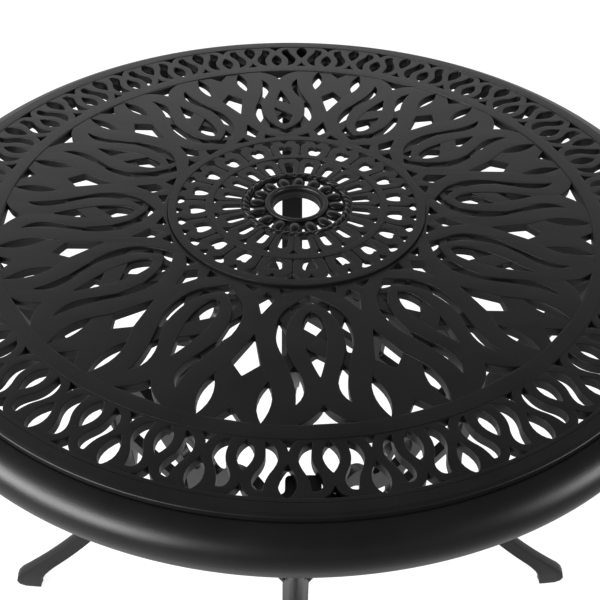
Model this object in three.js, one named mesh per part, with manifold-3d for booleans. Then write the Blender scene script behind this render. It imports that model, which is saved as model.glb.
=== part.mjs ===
// A round cast-aluminium patio table with an umbrella hole, in millimetres, +Z up.
// The origin is on the floor under the centre of the top. The four legs stand on the X and Y axes.
// The top is welded up from a rim casting and openwork castings that lie edge to edge. The centre castings,
// from the medallion inward, are thinner: they rest on a ledge of the field and stand a little proud of it.
import * as THREE from 'three';
import { mergeVertices } from 'three/addons/utils/BufferGeometryUtils.js';
import Module from 'manifold-3d';

const wasm = await Module();
wasm.setup();

// Driving sizes of the whole table
const tableDiameter = 840;
const tableHeight = 724;
const castingThickness = 10;
const seamGap = 0.3;
const cutOverrun = 2;

// Driving sizes of the top: the rim and the border are measured inward from the edge of the table
const rimWidth = 39;
const rimDrop = 46;
const rimWall = 6;
const rimLipInset = 4;
const rimCrownWidth = 25;
const rimCrownDrop = 4.8;
const rimBevelWidth = 2.7;
const rimBevelDrop = 2;
const rimWidestDrop = 28;
const grooveWidth = 2.6;
const grooveDepth = 1.2;
const borderRailWidth = 3.5;
const borderOpenWidth = 56.5;
const middleRailWidth = 7;

// The leaves, the rope, the petals and the medallion are measured outward from the umbrella hole
const umbrellaHoleDiameter = 50;
const centreRise = 2;
const centreThickness = 5.5;
const collarWall = 10;
const collarRise = 1;
const collarStepWidth = 3;
const collarStepDepth = 5;
const collarSkirtDepth = 14;
const leafRootWidth = 3;
const leafOpenWidth = 11.6;
const leafRailWidth = 1.2;
const ropeWidth = 7;
const ropeRise = 1;
const petalRailWidth = 1.5;
const petalOpenWidth = 29.2;
const petalTipWidth = 3.5;
const medallionRailWidth = 3.5;
const medallionOpenWidth = 31.5;
const medallionRingWidth = 8.8;
const ledgeWidth = 7;
const ledgeLap = 1;

// How many times each pattern repeats round the table, and its turn from the X axis in degrees
const borderRepeats = 32;
const fieldRepeats = 12;
const medallionRepeats = 20;
const leafRepeats = 16;
const fieldTurn = 3.7;
const medallionTurn = 6;
const leafTurn = 7.5;

// Driving sizes of the legs, which are channels open to the outside
const legWidth = 28;
const legDepth = 18;
const legEdgeRound = 3;
const legFlange = 5.5;
const legChannelDepth = 12;
const legTopInset = 63;
const legWaistRadius = 222;
const legWaistHeight = 317;
const legAnkleHeight = 46;
const legUpperHandleShare = 0.3;
const legWaistHandleShare = 0.35;
const legAnkleReachShare = 0.552;
const legAnkleRiseShare = 0.316;
const footReach = 8;
const footAnkleSetback = 43;
const footLength = 37;
const footHeight = 24;
const footHeelLean = 6;
const footToeRound = 14;
const glideDiameter = 18;
const glideHeight = 2.5;
const glidePinDiameter = 8;
const glidePinLength = 12;

// Driving sizes of the leg plates, the stretchers between the legs, and the bolts
const plateThickness = 6;
const plateWidth = 60;
const plateOuterMargin = 6.5;
const plateCorner = 4;
const boltSpacing = 44;
const boltInset = 7;
const stretcherThickness = 12;
const stretcherFootHeight = 365;
const stretcherHeight = 150;
const stretcherEyeDiameter = 38;
const boltDiameter = 6;
const boltHeadWidth = 11;
const boltHeadHeight = 4;
const boltDepthInTop = 6;
const holeClearance = 0.6;

// Radii of the top, worked out from the edge inward and from the umbrella hole outward
const tableRadius = tableDiameter / 2;
const borderSeamRadius = tableRadius - rimWidth;
const borderOpenOuterRadius = borderSeamRadius - borderRailWidth;
const borderOpenInnerRadius = borderOpenOuterRadius - borderOpenWidth;
const fieldSeamRadius = borderOpenInnerRadius - middleRailWidth;
const fieldOpenOuterRadius = fieldSeamRadius - middleRailWidth;
const umbrellaHoleRadius = umbrellaHoleDiameter / 2;
const collarOuterRadius = umbrellaHoleRadius + collarWall;
const leafOpenInnerRadius = collarOuterRadius + leafRootWidth;
const leafOpenOuterRadius = leafOpenInnerRadius + leafOpenWidth;
const ropeInnerRadius = leafOpenOuterRadius + leafRailWidth;
const ropeOuterRadius = ropeInnerRadius + ropeWidth;
const petalOpenInnerRadius = ropeOuterRadius + petalRailWidth;
const petalOpenOuterRadius = petalOpenInnerRadius + petalOpenWidth;
const petalSeamRadius = petalOpenOuterRadius + petalTipWidth;
const medallionOpenInnerRadius = petalSeamRadius + medallionRailWidth;
const medallionOpenOuterRadius = medallionOpenInnerRadius + medallionOpenWidth;
const medallionSeamRadius = medallionOpenOuterRadius + medallionRingWidth;
const fieldInnerRadius = medallionSeamRadius + seamGap;

// Heights of the top
const castingBottom = tableHeight - castingThickness;
const centreTop = tableHeight + centreRise;
const centreBottom = centreTop - centreThickness;

// Places of the legs, the feet, the plates and the bolts
const plateBottom = castingBottom - plateThickness;
const legTopRadius = tableRadius - legTopInset;
const legTopHeight = plateBottom - seamGap;
const footToeRadius = tableRadius + footReach;
const footBottom = glideHeight + seamGap;
const legAnkleRadius = footToeRadius - footAnkleSetback;
const boltRadius = borderSeamRadius + boltInset;
const plateOuterRadius = boltRadius + plateOuterMargin;
const plateShoulderRadius = legTopRadius + legDepth / 2;
const plateInnerRadius = legTopRadius - legDepth / 2;

// How finely the round shapes are divided
const largeCircleSteps = 48;
const middleCircleSteps = 36;
const smallCircleSteps = 24;
const boltSteps = 6;
const glideSteps = 8;
const legSteps = 5;
const stretcherBendSteps = 2;
const stretcherEyeSteps = 12;

// Finishes
const powderCoat = new THREE.MeshStandardMaterial({ color: 0x2b2c2e, roughness: 0.55, metalness: 0.2 });
const blackNylon = new THREE.MeshStandardMaterial({ color: 0x151515, roughness: 0.7, metalness: 0 });
const darkSteel = new THREE.MeshStandardMaterial({ color: 0x3a3a3c, roughness: 0.4, metalness: 0.8 });

const table = new THREE.Group();

// Solids and parts
function closedGeometry(geometry) {
  const bare = geometry.index ? geometry.toNonIndexed() : geometry.clone();
  bare.deleteAttribute('normal');
  bare.deleteAttribute('uv');
  return mergeVertices(bare, 1e-4);
}

function toSolid(geometry) {
  const closed = closedGeometry(geometry);
  return new wasm.Manifold(new wasm.Mesh({
    numProp: 3,
    vertProperties: new Float32Array(closed.attributes.position.array),
    triVerts: new Uint32Array(closed.index.array),
  }));
}

function fromSolid(solid) {
  const mesh = solid.getMesh();
  const geometry = new THREE.BufferGeometry();
  geometry.setAttribute('position', new THREE.BufferAttribute(mesh.vertProperties, 3));
  geometry.setIndex(new THREE.BufferAttribute(mesh.triVerts, 1));
  return geometry;
}

function cutFrom(geometry, cutters) {
  return fromSolid(cutters.reduce((solid, cutter) => solid.subtract(toSolid(cutter)), toSolid(geometry)));
}

function addPart(name, geometry, material, parent = table) {
  const mesh = new THREE.Mesh(closedGeometry(geometry), material);
  mesh.name = name;
  parent.add(mesh);
  return mesh;
}

// A ring about +Z from points of radius and height that run up the outside
function revolve(profile, steps) {
  const points = profile.map(([radius, height]) => new THREE.Vector2(radius, height));
  points.push(points[0].clone());
  const ring = new THREE.LatheGeometry(points, steps);
  ring.rotateX(Math.PI / 2);
  return ring;
}

// A turned solid about +Z whose profile starts and ends on the axis
function turn(profile, steps) {
  const points = profile.map(([radius, height]) => new THREE.Vector2(radius, height));
  const solid = new THREE.LatheGeometry(points, steps);
  solid.rotateX(Math.PI / 2);
  return solid;
}

// Outlines: a list of corners and bends, whose places are shares of the space that the outline fills
const corner = (across, along) => ({ across, along, isBend: false });
const bend = (across, along) => ({ across, along, isBend: true });
const mirrored = (outline) => outline.map((point) => ({ ...point, across: -point.across }));

function polarPoint(radius, angle) {
  return new THREE.Vector2(radius * Math.cos(angle), radius * Math.sin(angle));
}

function circlePoints(radius, steps) {
  return Array.from({ length: steps }, (_, step) => polarPoint(radius, (2 * Math.PI * step) / steps));
}

function outlinePoints(outline, place, bendSteps) {
  const points = [];
  outline.forEach((point, index) => {
    if (point.isBend) return;
    const next = outline[(index + 1) % outline.length];
    points.push(place(point));
    if (next.isBend) {
      const after = outline[(index + 2) % outline.length];
      const side = new THREE.QuadraticBezierCurve(place(point), place(next), place(after));
      points.push(...side.getPoints(bendSteps).slice(1, -1));
    }
  });
  return points;
}

function openingPoints(outline, pattern, middleAngle) {
  const halfTurn = Math.PI / pattern.repeats;
  const width = pattern.outerRadius - pattern.innerRadius;
  const place = ({ across, along }) => polarPoint(
    pattern.innerRadius + along * width,
    middleAngle + across * halfTurn,
  );
  return outlinePoints(outline, place, pattern.bendSteps);
}

// Openwork castings: a flat ring with a pattern of openings, in shares of half a repeat and of the width
function openwork(pattern, rimRadius, rimSteps, coreRadius, coreSteps, bottom, thickness) {
  const shape = new THREE.Shape(circlePoints(rimRadius, rimSteps));
  shape.holes.push(new THREE.Path(circlePoints(coreRadius, coreSteps)));
  for (let repeat = 0; repeat < pattern.repeats; repeat += 1) {
    const middleAngle = THREE.MathUtils.degToRad(pattern.turn) + (2 * Math.PI * repeat) / pattern.repeats;
    for (const outline of pattern.outlines) {
      shape.holes.push(new THREE.Path(openingPoints(outline, pattern, middleAngle)));
    }
  }
  const plate = new THREE.ExtrudeGeometry(shape, { depth: thickness, bevelEnabled: false });
  plate.translate(0, 0, bottom);
  return plate;
}

// Border: two rows of crossing S strands between the rim and the middle ring
const borderOuterEarShares = [corner(-0.27, 1), corner(0, 0.795), corner(0.27, 1)];
const borderInnerEarShares = [corner(0.8, 0.02), corner(1, 0.215), corner(1.2, 0.02)];
const borderInnerLensShares = [corner(0, 0.589), bend(0.41, 0.29), corner(0, 0.027), bend(-0.41, 0.29)];
const borderOuterLensShares = [corner(1, 0.995), bend(1.4, 0.77), corner(1, 0.43), bend(0.6, 0.77)];
const borderSlotShares = [
  corner(0.49, 0.885), corner(0.235, 0.79), corner(0.33, 0.54), corner(0.46, 0.27), corner(0.42, 0.05),
  bend(0.9, 0.13), corner(0.66, 0.53),
];
const borderPattern = {
  repeats: borderRepeats,
  turn: fieldTurn,
  outerRadius: borderOpenOuterRadius,
  innerRadius: borderOpenInnerRadius,
  bendSteps: 2,
  outlines: [
    borderOuterEarShares, borderInnerEarShares, borderInnerLensShares, borderOuterLensShares,
    borderSlotShares, mirrored(borderSlotShares),
  ],
};

// Field: onion loops woven from an outer and an inner strand, with leaf pads between them
const archShares = [corner(-0.293, 0.995), bend(-0.087, 0.952), corner(0, 0.868), bend(0.087, 0.952),
  corner(0.293, 0.995)];
const padNotchShares = [corner(0.86, 0.995), corner(1, 0.914), corner(1.14, 0.995)];
const padLensShares = [corner(0.67, 0.99), bend(0.5, 0.853), corner(0.653, 0.717), bend(0.833, 0.864)];
const padDiamondShares = [corner(1, 0.701), corner(1.207, 0.612), corner(1, 0.395), corner(0.793, 0.612)];
const upperSlotShares = [corner(0.32, 0.868), bend(0.1, 0.778), corner(0.34, 0.599), corner(0.393, 0.644),
  bend(0.293, 0.776)];
const lowerSlotShares = [corner(0.46, 0.517), corner(0.513, 0.528), bend(0.707, 0.415), corner(0.647, 0.254),
  corner(0.487, 0.336)];
const dropTopShares = [corner(0, 0.687), corner(0.127, 0.546), corner(0, 0.508), corner(-0.127, 0.546)];
const dropFootShares = [corner(0, 0.388), corner(0.177, 0.32), bend(0.16, 0.24), corner(0, 0.2),
  bend(-0.16, 0.24), corner(-0.177, 0.32)];
const loopFootShares = [corner(-0.28, 0.108), bend(0, 0.145), corner(0.28, 0.108), corner(0, 0.063)];
const loopSideShares = [corner(0.4, 0.243), corner(0.2, 0.167), corner(0.44, 0.147)];
const crossingDiamondShares = [corner(1, 0.24), corner(1.2, 0.115), corner(1, 0.055), corner(0.8, 0.115)];
const ringGapShares = [corner(0.66, 0.075), corner(0.75, 0.013), corner(0.33, 0.028)];
const fieldPattern = {
  repeats: fieldRepeats,
  turn: fieldTurn,
  outerRadius: fieldOpenOuterRadius,
  innerRadius: fieldInnerRadius,
  bendSteps: 2,
  outlines: [
    archShares, padNotchShares, padLensShares, mirrored(padLensShares), padDiamondShares,
    upperSlotShares, mirrored(upperSlotShares), lowerSlotShares, mirrored(lowerSlotShares),
    dropTopShares, dropFootShares, loopFootShares, loopSideShares, mirrored(loopSideShares),
    crossingDiamondShares, ringGapShares, mirrored(ringGapShares),
  ],
};

// Medallion: heart cells and spear slits between two rings, then slotted petals, then leaves round the collar
const heartShares = [corner(0, 0.52), corner(0.28, 0.56), corner(0.44, 0.38), corner(0.22, 0.02),
  corner(-0.22, 0.02), corner(-0.44, 0.38), corner(-0.28, 0.56)];
const spearShares = [corner(1, 0.985), corner(0.78, 0.8), corner(0.96, 0.5), corner(0.85, 0.03),
  corner(1.15, 0.03), corner(1.04, 0.5), corner(1.22, 0.8)];
const ringEarShares = [corner(-0.25, 0.985), corner(0, 0.76), corner(0.25, 0.985)];
const medallionPattern = {
  repeats: medallionRepeats,
  turn: medallionTurn,
  outerRadius: medallionOpenOuterRadius,
  innerRadius: medallionOpenInnerRadius,
  bendSteps: 2,
  outlines: [heartShares, spearShares, ringEarShares],
};
const petalSlotShares = [corner(-0.42, 0), corner(-0.42, 0.5), bend(-0.36, 0.7), corner(0, 0.7),
  bend(0.36, 0.7), corner(0.42, 0.5), corner(0.42, 0)];
const petalNotchShares = [corner(0.66, 0.985), corner(1, 0.73), corner(1.34, 0.985)];
const petalPattern = {
  repeats: medallionRepeats,
  turn: medallionTurn,
  outerRadius: petalOpenOuterRadius,
  innerRadius: petalOpenInnerRadius,
  bendSteps: 2,
  outlines: [petalSlotShares, petalNotchShares],
};
const leafGapShares = [corner(-0.4, 1), corner(-0.2, 0.5), corner(-0.24, 0), corner(0.24, 0),
  corner(0.2, 0.5), corner(0.4, 1)];
const leafPattern = {
  repeats: leafRepeats,
  turn: leafTurn,
  outerRadius: leafOpenOuterRadius,
  innerRadius: leafOpenInnerRadius,
  bendSteps: 2,
  outlines: [leafGapShares],
};

function addTop() {
  addPart('border_openwork',
    openwork(borderPattern, borderSeamRadius, largeCircleSteps, fieldSeamRadius + seamGap, largeCircleSteps,
      castingBottom, castingThickness),
    powderCoat);
  addField();
  addPart('medallion_openwork',
    openwork(medallionPattern, medallionSeamRadius, middleCircleSteps, petalSeamRadius + seamGap,
      smallCircleSteps, centreBottom, centreThickness),
    powderCoat);
  addPart('petal_ring',
    openwork(petalPattern, petalSeamRadius, smallCircleSteps, ropeOuterRadius + seamGap, smallCircleSteps,
      centreBottom, centreThickness),
    powderCoat);
  addRope();
  addCollar();
  addRim();
}

// The field carries the medallion on a ledge inside its inner edge
function addField() {
  const lattice = openwork(fieldPattern, fieldSeamRadius, largeCircleSteps, fieldInnerRadius,
    middleCircleSteps, castingBottom, castingThickness);
  const ledge = revolve([
    [medallionSeamRadius - ledgeWidth, castingBottom],
    [fieldInnerRadius + ledgeLap, castingBottom],
    [fieldInnerRadius + ledgeLap, centreBottom - seamGap],
    [medallionSeamRadius - ledgeWidth, centreBottom - seamGap],
  ], middleCircleSteps);
  addPart('field_openwork', fromSolid(toSolid(lattice).add(toSolid(ledge))), powderCoat);
}

// The rope moulding is a rounded ring that stands a little proud of the centre castings
function addRope() {
  const crown = centreTop + ropeRise;
  const quarter = ropeWidth / 4;
  addPart('rope_ring', revolve([
    [ropeInnerRadius, centreBottom],
    [ropeOuterRadius, centreBottom],
    [ropeOuterRadius, centreTop],
    [ropeOuterRadius - quarter, crown],
    [ropeInnerRadius + quarter, crown],
    [ropeInnerRadius, centreTop],
  ], smallCircleSteps), powderCoat);
}

// The collar is the raised ring round the umbrella hole, with a step inside it and a skirt below
function addCollar() {
  const leafRing = openwork(leafPattern, ropeInnerRadius - seamGap, smallCircleSteps,
    collarOuterRadius - cutOverrun, smallCircleSteps, centreBottom, centreThickness);
  const crown = centreTop + collarRise;
  const collar = revolve([
    [umbrellaHoleRadius, tableHeight - collarSkirtDepth],
    [collarOuterRadius, tableHeight - collarSkirtDepth],
    [collarOuterRadius, centreTop],
    [collarOuterRadius - collarRise, crown],
    [umbrellaHoleRadius + collarStepWidth, crown],
    [umbrellaHoleRadius + collarStepWidth, crown - collarStepDepth],
    [umbrellaHoleRadius, crown - collarStepDepth],
  ], smallCircleSteps);
  addPart('umbrella_collar', fromSolid(toSolid(leafRing).add(toSolid(collar))), powderCoat);
}

// The rim is flat beside the border, falls past a groove, and rolls over into a hollow apron
function addRim() {
  const grooveRadius = tableRadius - rimCrownWidth;
  const crownRadius = grooveRadius + grooveWidth / 2;
  const crownWidth = tableRadius - crownRadius;
  const crownHeight = rimWidestDrop - rimCrownDrop;
  const underHeight = rimDrop - rimWidestDrop;
  const crownShares = [1, 0.85, 0.5, 0];
  const hollowShares = [0, 0.7, 1];
  const profile = [
    [borderSeamRadius + seamGap, -castingThickness],
    ...hollowShares.map((share) => [
      crownRadius + (crownWidth - rimWall) * share,
      -rimWidestDrop + (rimWidestDrop - castingThickness) * Math.sqrt(1 - share * share),
    ]),
    [tableRadius - rimLipInset - rimWall, -rimDrop],
    [tableRadius - rimLipInset, -rimDrop],
    [tableRadius - rimLipInset / 3, -rimWidestDrop - underHeight / 2],
    ...crownShares.map((share) => [
      crownRadius + crownWidth * share,
      -rimWidestDrop + crownHeight * Math.sqrt(1 - share * share),
    ]),
    [grooveRadius, -rimCrownDrop - grooveDepth],
    [grooveRadius - grooveWidth / 2, -rimBevelDrop],
    [grooveRadius - grooveWidth / 2 - rimBevelWidth, 0],
    [borderSeamRadius + seamGap, 0],
  ];
  const rim = revolve(profile.map(([radius, height]) => [radius, tableHeight + height]), largeCircleSteps);
  const boltHoles = [];
  forEachLeg((legAngle) => {
    for (const side of [-1, 1]) {
      boltHoles.push(placeBolt(roundBar(
        boltDiameter + holeClearance,
        castingBottom - cutOverrun,
        castingBottom + boltDepthInTop + holeClearance,
      ), legAngle, side));
    }
  });
  addPart('rim_casting', cutFrom(rim, boltHoles), powderCoat);
}

// Legs
const legNames = ['right', 'back', 'left', 'front'];

function forEachLeg(build) {
  legNames.forEach((name, index) => build((index * Math.PI) / 2, name));
}

function roundBar(diameter, bottom, top, steps = boltSteps) {
  return turn([[0, bottom], [diameter / 2, bottom], [diameter / 2, top], [0, top]], steps);
}

function placeBolt(geometry, legAngle, side) {
  geometry.translate(boltRadius, (side * boltSpacing) / 2, 0);
  return geometry.rotateZ(legAngle);
}

// The middle line of a leg: in from the top to the waist, then out to the ankle
function legMiddle() {
  const drop = legTopHeight - legWaistHeight;
  const fall = legWaistHeight - legAnkleHeight;
  const spread = legAnkleRadius - legWaistRadius;
  const middle = new THREE.CurvePath();
  middle.add(new THREE.CubicBezierCurve(
    new THREE.Vector2(legTopRadius, legTopHeight),
    new THREE.Vector2(legTopRadius, legTopHeight - drop * legUpperHandleShare),
    new THREE.Vector2(legWaistRadius, legWaistHeight + drop * legWaistHandleShare),
    new THREE.Vector2(legWaistRadius, legWaistHeight),
  ));
  middle.add(new THREE.CubicBezierCurve(
    new THREE.Vector2(legWaistRadius, legWaistHeight),
    new THREE.Vector2(legWaistRadius, legWaistHeight - fall * legWaistHandleShare),
    new THREE.Vector2(legAnkleRadius - spread * legAnkleReachShare, legAnkleHeight + fall * legAnkleRiseShare),
    new THREE.Vector2(legAnkleRadius, legAnkleHeight),
  ));
  return middle;
}

// Stations down the middle line, each with its direction to the outside
function legStations() {
  const stations = [];
  for (const curve of legMiddle().curves) {
    const first = stations.length === 0 ? 0 : 1;
    for (let step = first; step <= legSteps; step += 1) {
      const along = curve.getTangent(step / legSteps);
      stations.push({
        point: curve.getPoint(step / legSteps),
        outward: new THREE.Vector2(-along.y, along.x),
      });
    }
  }
  return stations;
}

function besideLeg(stations, distance) {
  return stations.map(({ point, outward }) => point.clone().addScaledVector(outward, distance));
}

// A solid with a side view of radius and height, laid evenly about the X axis
function standUp(outline, width, edgeRound) {
  const solid = new THREE.ExtrudeGeometry(new THREE.Shape(outline), {
    depth: width - 2 * edgeRound,
    bevelEnabled: edgeRound > 0,
    bevelThickness: edgeRound,
    bevelSize: edgeRound,
    bevelOffset: -edgeRound,
    bevelSegments: 1,
  });
  solid.translate(0, 0, edgeRound - width / 2);
  return solid.rotateX(Math.PI / 2);
}

// The channel runs from the open top of the leg and comes out to the surface at the ankle
function legChannel(stations) {
  const mouthDistance = legDepth / 2 + cutOverrun;
  const mouth = besideLeg(stations, mouthDistance);
  const floor = besideLeg(stations.slice(0, -1), legDepth / 2 - legChannelDepth);
  const above = legTopHeight + cutOverrun;
  const outline = [
    new THREE.Vector2(floor[0].x, above),
    ...floor,
    ...mouth.reverse(),
    new THREE.Vector2(legTopRadius + mouthDistance, above),
  ];
  return standUp(outline, legWidth - 2 * legFlange, 0);
}

function addLegs() {
  const stations = legStations();
  const footHeelRadius = footToeRadius - footLength;
  const soleOuterRadius = footToeRadius - footToeRound;
  const outline = [
    ...besideLeg(stations, -legDepth / 2),
    new THREE.Vector2(footHeelRadius - footHeelLean, footBottom + footHeight),
    new THREE.Vector2(footHeelRadius, footBottom),
    new THREE.Vector2(soleOuterRadius, footBottom),
    new THREE.Vector2(footToeRadius, footBottom + footToeRound),
    new THREE.Vector2(footToeRadius - footToeRound / 4, footBottom + (footToeRound + footHeight) / 2),
    new THREE.Vector2(soleOuterRadius, footBottom + footHeight),
    ...besideLeg(stations, legDepth / 2).reverse(),
  ];
  const leg = standUp(outline, legWidth, legEdgeRound);
  const glideRadius = (footHeelRadius + soleOuterRadius) / 2;
  const socket = roundBar(glidePinDiameter + holeClearance, glideHeight - cutOverrun,
    glideHeight + glidePinLength + holeClearance, glideSteps);
  socket.translate(glideRadius, 0, 0);
  const finishedLeg = cutFrom(leg, [legChannel(stations), socket]);
  const glide = turn([
    [0, 0], [glideDiameter / 2, 0], [glideDiameter / 2, glideHeight],
    [glidePinDiameter / 2, glideHeight], [glidePinDiameter / 2, glideHeight + glidePinLength],
    [0, glideHeight + glidePinLength],
  ], glideSteps);
  glide.translate(glideRadius, 0, 0);
  forEachLeg((legAngle, name) => {
    addPart(`leg_${name}`, finishedLeg.clone().rotateZ(legAngle), powderCoat);
    addPart(`foot_glide_${name}`, glide.clone().rotateZ(legAngle), blackNylon);
  });
}

// Leg plates and their bolts under the rim: a tongue as wide as the leg lies on its top
function addPlates() {
  const tongueHalf = legWidth / 2;
  const half = plateWidth / 2;
  const sideShape = [
    new THREE.Vector2(plateInnerRadius, tongueHalf - plateCorner),
    new THREE.Vector2(plateInnerRadius + plateCorner, tongueHalf),
    new THREE.Vector2(plateShoulderRadius, tongueHalf),
    new THREE.Vector2(plateShoulderRadius, half - plateCorner),
    new THREE.Vector2(plateShoulderRadius + plateCorner, half),
    new THREE.Vector2(plateOuterRadius - plateCorner, half),
    new THREE.Vector2(plateOuterRadius, half - plateCorner),
  ];
  const otherSide = sideShape.map((point) => new THREE.Vector2(point.x, -point.y)).reverse();
  const outline = new THREE.Shape([...sideShape, ...otherSide]);
  const blank = new THREE.ExtrudeGeometry(outline, { depth: plateThickness, bevelEnabled: false });
  blank.translate(0, 0, plateBottom);
  const plate = cutFrom(blank, [-1, 1].map((side) => placeBolt(roundBar(
    boltDiameter + holeClearance,
    plateBottom - cutOverrun,
    plateBottom + plateThickness + cutOverrun,
  ), 0, side)));
  forEachLeg((legAngle, name) => {
    addPart(`leg_plate_${name}`, plate.clone().rotateZ(legAngle), powderCoat);
    for (const [sideName, side] of [['a', -1], ['b', 1]]) {
      const bolt = turn([
        [0, plateBottom - boltHeadHeight],
        [boltHeadWidth / 2, plateBottom - boltHeadHeight],
        [boltHeadWidth / 2, plateBottom],
        [boltDiameter / 2, plateBottom],
        [boltDiameter / 2, plateBottom + plateThickness + boltDepthInTop],
        [0, plateBottom + plateThickness + boltDepthInTop],
      ], boltSteps);
      addPart(`leg_bolt_${name}_${sideName}`, placeBolt(bolt, legAngle, side), darkSteel);
    }
  });
}

// Stretchers: one openwork panel between each two neighbouring legs at the waist
// The shares are of half the length and of the height
const stretcherHalfShares = [
  corner(1, 0), corner(1, 0.33), corner(0.85, 0.33), bend(0.83, 0.87), corner(0.63, 0.93), bend(0.42, 0.97),
  corner(0.3, 0.7), bend(0.22, 0.6), corner(0.17, 0.76), bend(0.1, 0.85),
];
const stretcherOutlineShares = [
  ...stretcherHalfShares, corner(0, 0.85), ...mirrored(stretcherHalfShares).reverse(), bend(0, 0.1),
];
const stretcherOpeningShares = [
  corner(0.05, 0.16), bend(0.42, 0.12), corner(0.78, 0.17), bend(0.8, 0.55), corner(0.63, 0.78),
  bend(0.5, 0.82), corner(0.4, 0.62), bend(0.3, 0.44), corner(0.07, 0.36),
];
const stretcherEyeShare = 0.633;

function addStretchers() {
  const halfLength = (legWaistRadius + legWidth / 2) * Math.SQRT1_2;
  const place = ({ across, along }) => new THREE.Vector2(
    across * halfLength,
    stretcherFootHeight + along * stretcherHeight,
  );
  const shape = new THREE.Shape(outlinePoints(stretcherOutlineShares, place, stretcherBendSteps));
  for (const opening of [stretcherOpeningShares, mirrored(stretcherOpeningShares)]) {
    shape.holes.push(new THREE.Path(outlinePoints(opening, place, stretcherBendSteps)));
  }
  const eyeCentre = place(corner(0, stretcherEyeShare));
  const eye = circlePoints(stretcherEyeDiameter / 2, stretcherEyeSteps).map((point) => point.add(eyeCentre));
  shape.holes.push(new THREE.Path(eye));
  const panel = new THREE.ExtrudeGeometry(shape, { depth: stretcherThickness, bevelEnabled: false });
  panel.rotateX(Math.PI / 2);
  panel.translate(0, halfLength + stretcherThickness / 2, 0);
  panel.rotateZ(-Math.PI / 4);
  const rightLegRoom = new THREE.BoxGeometry(tableDiameter, legWidth + 2 * seamGap, tableHeight);
  rightLegRoom.translate(tableDiameter / 2, 0, tableHeight / 2);
  const backLegRoom = rightLegRoom.clone().rotateZ(Math.PI / 2);
  const fitted = cutFrom(panel, [rightLegRoom, backLegRoom]);
  forEachLeg((legAngle, name) => {
    const nextName = legNames[(legNames.indexOf(name) + 1) % legNames.length];
    addPart(`stretcher_${name}_${nextName}`, fitted.clone().rotateZ(legAngle), powderCoat);
  });
}

addTop();
addPlates();
addLegs();
addStretchers();

export default table;
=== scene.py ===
# Looks of a round cast-aluminium patio table with a woven openwork top and an umbrella hole
import math

import bpy
from mathutils import Matrix, Vector


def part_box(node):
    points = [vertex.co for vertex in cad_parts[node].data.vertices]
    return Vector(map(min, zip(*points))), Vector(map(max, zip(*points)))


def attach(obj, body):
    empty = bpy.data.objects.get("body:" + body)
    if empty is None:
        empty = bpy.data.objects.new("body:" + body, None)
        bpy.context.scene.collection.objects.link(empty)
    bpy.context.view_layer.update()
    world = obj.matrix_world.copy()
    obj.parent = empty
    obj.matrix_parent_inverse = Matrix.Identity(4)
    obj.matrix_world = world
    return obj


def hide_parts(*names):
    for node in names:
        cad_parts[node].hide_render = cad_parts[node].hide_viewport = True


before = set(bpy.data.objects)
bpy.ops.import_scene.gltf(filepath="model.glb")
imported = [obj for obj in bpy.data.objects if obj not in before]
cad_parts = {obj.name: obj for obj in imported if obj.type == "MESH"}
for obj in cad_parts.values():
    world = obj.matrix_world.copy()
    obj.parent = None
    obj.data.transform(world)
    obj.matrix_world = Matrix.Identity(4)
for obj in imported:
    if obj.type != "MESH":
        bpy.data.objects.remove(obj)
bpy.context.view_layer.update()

MM = 0.001

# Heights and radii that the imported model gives
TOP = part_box("field_openwork")[1][2]
CASTING_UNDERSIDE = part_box("field_openwork")[0][2]
CENTRE_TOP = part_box("medallion_openwork")[1][2]
CENTRE_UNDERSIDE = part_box("medallion_openwork")[0][2]
TABLE_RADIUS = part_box("rim_casting")[1][0]
RIM_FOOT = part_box("rim_casting")[0][2]
BORDER_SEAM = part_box("border_openwork")[1][0]
FIELD_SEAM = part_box("field_openwork")[1][0]
MEDALLION_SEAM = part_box("medallion_openwork")[1][0]
PETAL_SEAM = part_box("petal_ring")[1][0]
ROPE_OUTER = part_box("rope_ring")[1][0]
ROPE_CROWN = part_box("rope_ring")[1][2]
COLLAR_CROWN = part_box("umbrella_collar")[1][2]
COLLAR_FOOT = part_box("umbrella_collar")[0][2]
PLATE_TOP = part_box("leg_plate_right")[1][2]
PLATE_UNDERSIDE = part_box("leg_plate_right")[0][2]
SEAM_GAP = 0.3 * MM

# Widths of the openwork bands
BORDER_RAIL = 3.5 * MM
BORDER_OPEN = 56.5 * MM
MIDDLE_RAIL = 7 * MM
MEDALLION_RING = 8.8 * MM
MEDALLION_OPEN = 31.5 * MM
PETAL_BAND = 7 * MM
PETAL_TIP = 3.5 * MM
PETAL_OPEN = 29.2 * MM
ROPE_WIDTH = 7 * MM
LEAF_RAIL = 1.2 * MM
LEAF_OPEN = 11.6 * MM
LEDGE_WIDTH = 7 * MM

# How often each pattern repeats, and its turn from the X axis in degrees
BORDER_REPEATS = 32
FIELD_REPEATS = 12
MEDALLION_REPEATS = 20
LEAF_REPEATS = 16
FIELD_TURN = 3.7
MEDALLION_TURN = 6
LEAF_TURN = 7.5

# Relief of the castings
STRAND_SINK = 0.5 * MM
UNDER_BAR_SINK = 2.6 * MM
PAD_SINK = 1.0 * MM
OVER_BAR_SINK = 0.9 * MM
EDGE_ROUND = 0.6 * MM
LAYER_LAP = 0.6 * MM
HOLE_SOFTENING = 1.4 * MM
PAD_ROUND = 0.4 * MM
MEDALLION_GROOVE = 0.4 * MM
LEDGE_OUTREACH = 1.6 * MM
LEDGE_CUT = 0.6 * MM
RAIL_ROUND = 0.35 * MM
RAIL_MIDDLE_SHARE = 0.3

# How finely rings, plates and rounded corners are divided
RING_STEPS = 192
BEND_STEPS = 7
CORNER_STEPS = 3
SHARP_TURN = math.radians(24)
LONGEST_CUT_SHARE = 0.45
SAME_POINT = 1e-7
SAME_PLATE_POINT = 0.01 * MM
SAME_RING_POINT = 0.005 * MM

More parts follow.
